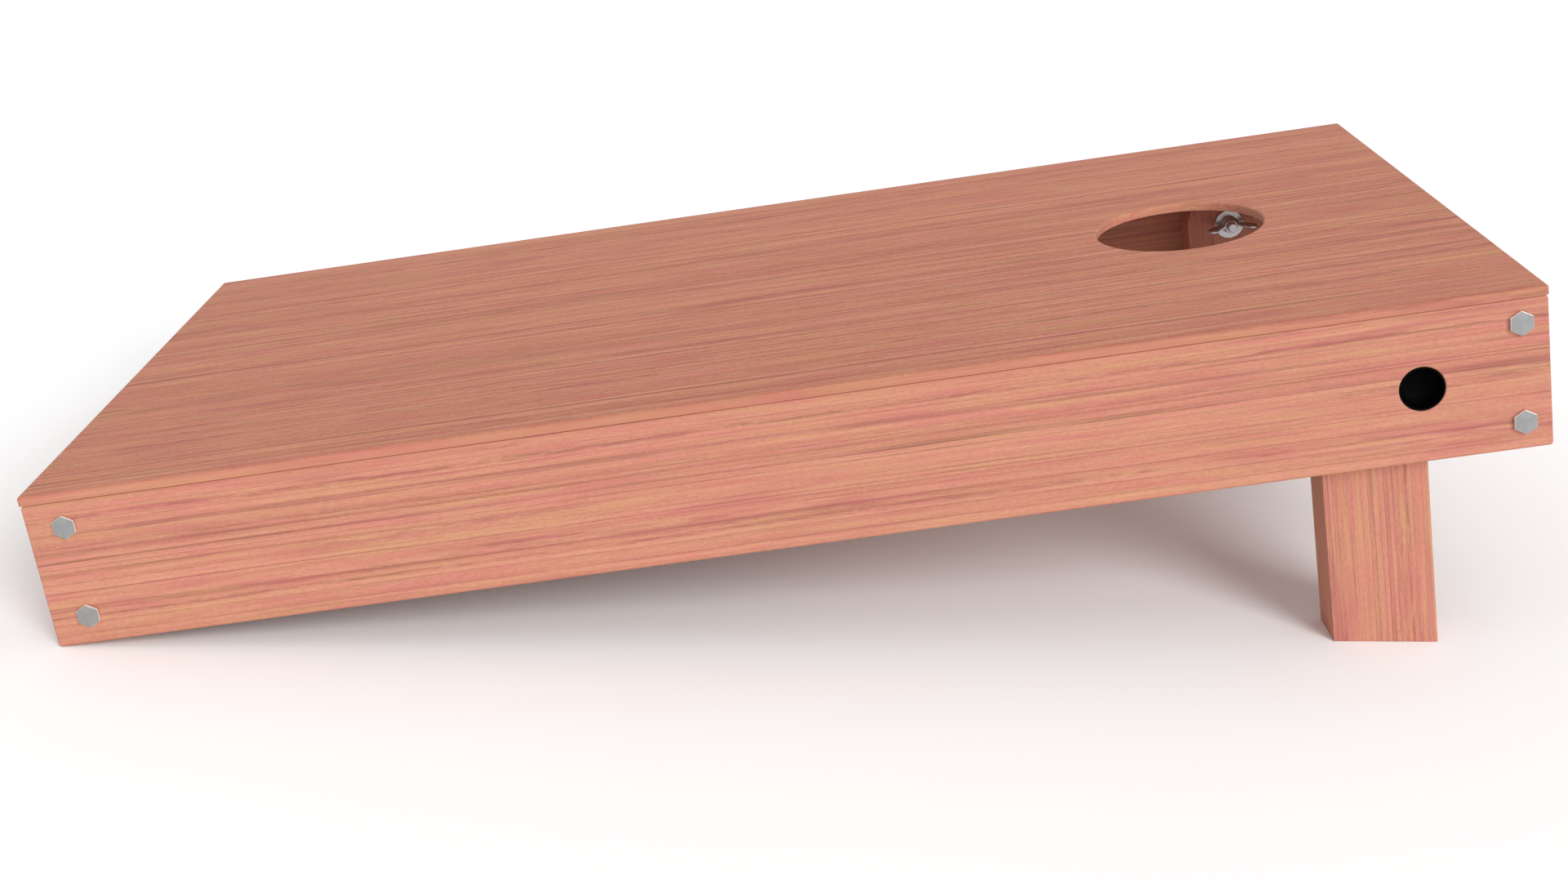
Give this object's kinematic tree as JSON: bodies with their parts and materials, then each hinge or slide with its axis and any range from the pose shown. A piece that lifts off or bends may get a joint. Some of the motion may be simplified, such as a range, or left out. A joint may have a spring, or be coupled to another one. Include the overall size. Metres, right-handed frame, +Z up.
{
  "type": "cornhole board",
  "caption": "Sloping wooden bean-bag target board with a round scoring hole, bolted box frame and folding rear legs.",
  "frame": {"origin": "on the ground, under the centre of the bounding box, with the legs opened", "axes": "+X along the board towards the raised high end, +Y across it towards the left side of a player who faces the high end, +Z up from the ground"},
  "size_m": [1.2244, 0.6162, 0.3161],
  "materials": {
    "deck_wood": "satin, fine lengthwise grain",
    "frame_wood": "satin, fine lengthwise grain",
    "leg_wood": "satin, grain along the leg",
    "inner_wood": "bare planed softwood",
    "bolt_steel": "dull zinc plate",
    "zinc_steel": "bright zinc plate",
    "black_plastic": "moulded, fine matt"
  },
  "bodies": {
    "board": {"batten_screw_left_1": "zinc_steel", "batten_screw_left_2": "zinc_steel", "batten_screw_right_1": "zinc_steel", "batten_screw_right_2": "zinc_steel", "centre_brace": "inner_wood", "deck": "deck_wood", "deck_batten_left": "inner_wood", "deck_batten_right": "inner_wood", "deck_screw_left_1": "zinc_steel", "deck_screw_left_2": "zinc_steel", "deck_screw_left_3": "zinc_steel", "deck_screw_left_4": "zinc_steel", "deck_screw_right_1": "zinc_steel", "deck_screw_right_2": "zinc_steel", "deck_screw_right_3": "zinc_steel", "deck_screw_right_4": "zinc_steel", "finger_cup_left": "black_plastic", "finger_cup_right": "black_plastic", "frame_bolt_left_high_lower": "bolt_steel", "frame_bolt_left_high_upper": "bolt_steel", "frame_bolt_left_low_lower": "bolt_steel", "frame_bolt_left_low_upper": "bolt_steel", "frame_bolt_right_high_lower": "bolt_steel", "frame_bolt_right_high_upper": "bolt_steel", "frame_bolt_right_low_lower": "bolt_steel", "frame_bolt_right_low_upper": "bolt_steel", "high_end_rail": "frame_wood", "leg_stop_block_left": "inner_wood", "leg_stop_block_right": "inner_wood", "low_end_rail": "frame_wood", "pivot_plate_left": "zinc_steel", "pivot_plate_right": "zinc_steel", "pivot_plate_screw_left_1": "zinc_steel", "pivot_plate_screw_left_2": "zinc_steel", "pivot_plate_screw_left_3": "zinc_steel", "pivot_plate_screw_left_4": "zinc_steel", "pivot_plate_screw_right_1": "zinc_steel", "pivot_plate_screw_right_2": "zinc_steel", "pivot_plate_screw_right_3": "zinc_steel", "pivot_plate_screw_right_4": "zinc_steel", "pocket_screw_left_1": "zinc_steel", "pocket_screw_left_2": "zinc_steel", "pocket_screw_right_1": "zinc_steel", "pocket_screw_right_2": "zinc_steel", "side_rail_left": "frame_wood", "side_rail_right": "frame_wood", "stop_block_screw_left_1": "zinc_steel", "stop_block_screw_left_2": "zinc_steel", "stop_block_screw_right_1": "zinc_steel", "stop_block_screw_right_2": "zinc_steel"},
    "leg_right": {"leg_right": "leg_wood"},
    "washer_right": {"pivot_washer_right": "zinc_steel"},
    "wing_nut_right": {"wing_nut_right": "zinc_steel"},
    "leg_left": {"leg_left": "leg_wood"},
    "washer_left": {"pivot_washer_left": "zinc_steel"},
    "wing_nut_left": {"wing_nut_left": "zinc_steel"}
  },
  "joints": [
    {"name": "leg_right_fold", "type": "hinge", "parent": "board", "child": "leg_right", "pos_m": [0.46916, -0.2618, 0.22093], "axis": [0, 1, 0], "range_deg": [0, 90]},
    {"name": "washer_right_slide", "type": "slide", "parent": "board", "child": "washer_right", "axis": [0, 1, 0], "range_m": [0, 0.003]},
    {"name": "wing_nut_right_turn", "type": "hinge", "parent": "washer_right", "child": "wing_nut_right", "pos_m": [0.46916, -0.2328, 0.22093], "axis": [0, 1, 0], "range_deg": [0, 720]},
    {"name": "leg_left_fold", "type": "hinge", "parent": "board", "child": "leg_left", "pos_m": [0.46916, 0.2618, 0.22093], "axis": [0, 1, 0], "range_deg": [0, 90]},
    {"name": "washer_left_slide", "type": "slide", "parent": "board", "child": "washer_left", "axis": [0, -1, 0], "range_m": [0, 0.003]},
    {"name": "wing_nut_left_turn", "type": "hinge", "parent": "washer_left", "child": "wing_nut_left", "pos_m": [0.46916, 0.2328, 0.22093], "axis": [0, -1, 0], "range_deg": [0, 720]}
  ],
  "couplings": [
    {"joint": "washer_right_slide", "follows": "wing_nut_right_turn", "m_per_rad": 0.0002387},
    {"joint": "washer_left_slide", "follows": "wing_nut_left_turn", "m_per_rad": 0.0002387}
  ]
}
